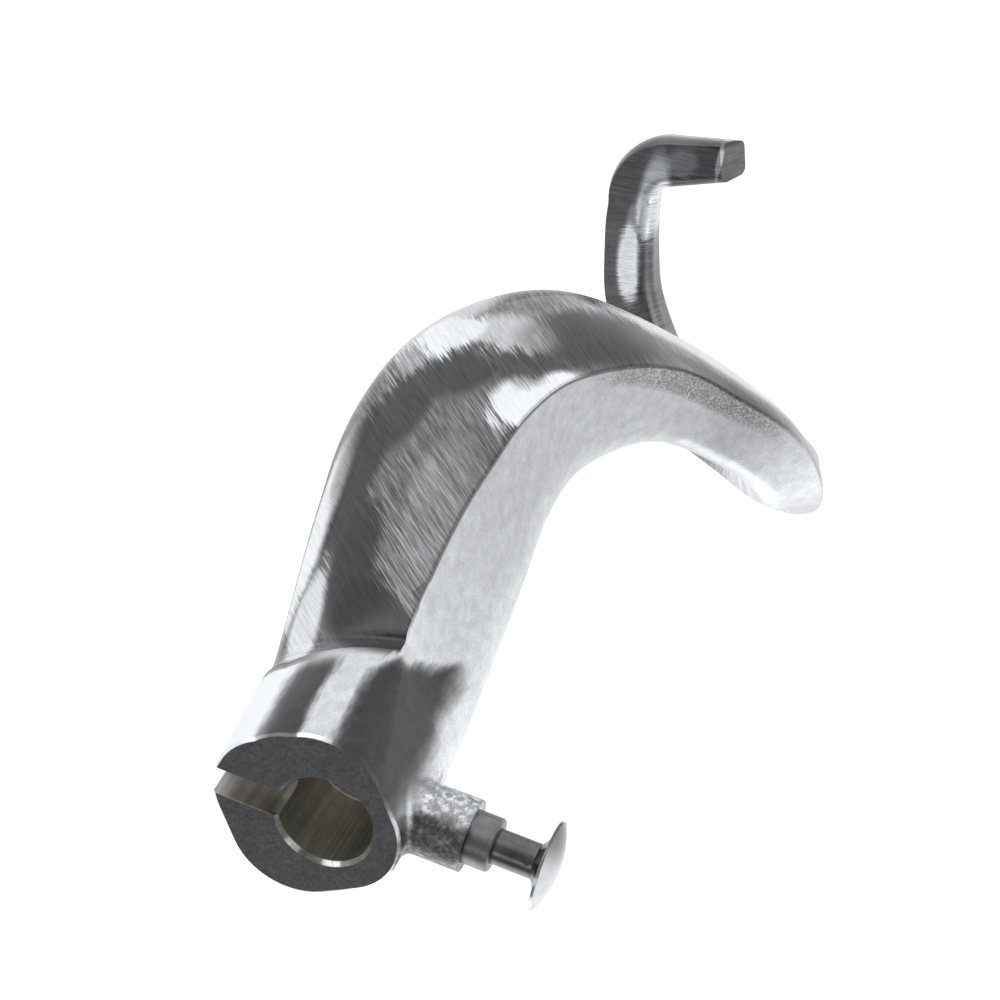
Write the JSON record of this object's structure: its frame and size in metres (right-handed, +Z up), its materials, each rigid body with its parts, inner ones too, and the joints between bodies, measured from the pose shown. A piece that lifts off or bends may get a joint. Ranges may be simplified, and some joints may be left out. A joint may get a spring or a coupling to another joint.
{
  "type": "stand mixer dough hook",
  "caption": "Cast metal spiral dough hook with a slotted round hub that slips onto a mixer's agitator shaft, held by a spring plunger with a pull knob.",
  "frame": {"origin": "centre of the shaft bore's floor", "axes": "+Z up the bore towards the mixer, +X out along the plunger to the pull knob, the drive slot faces -X"},
  "size_m": [0.1177, 0.1042, 0.3098],
  "materials": {
    "cast_metal": "hand-ground and satin cast",
    "bushing_steel": "turned",
    "pin_steel": "polished",
    "spring_steel": "drawn wire",
    "knob_plate": "bright plated"
  },
  "bodies": {
    "hook": {"hook_casting": "cast_metal", "plunger_bushing": "bushing_steel", "plunger_spring": "spring_steel"},
    "plunger": {"plunger_pin": "pin_steel", "pull_knob": "knob_plate", "knob_pin": "pin_steel"}
  },
  "joints": [
    {"name": "plunger_slide", "type": "slide", "parent": "hook", "child": "plunger", "axis": [1, 0, 0], "range_m": [0, 0.0045], "stiffness_N_per_m": 1500, "springref_m": -0.003, "deforming": ["plunger_spring"]}
  ]
}
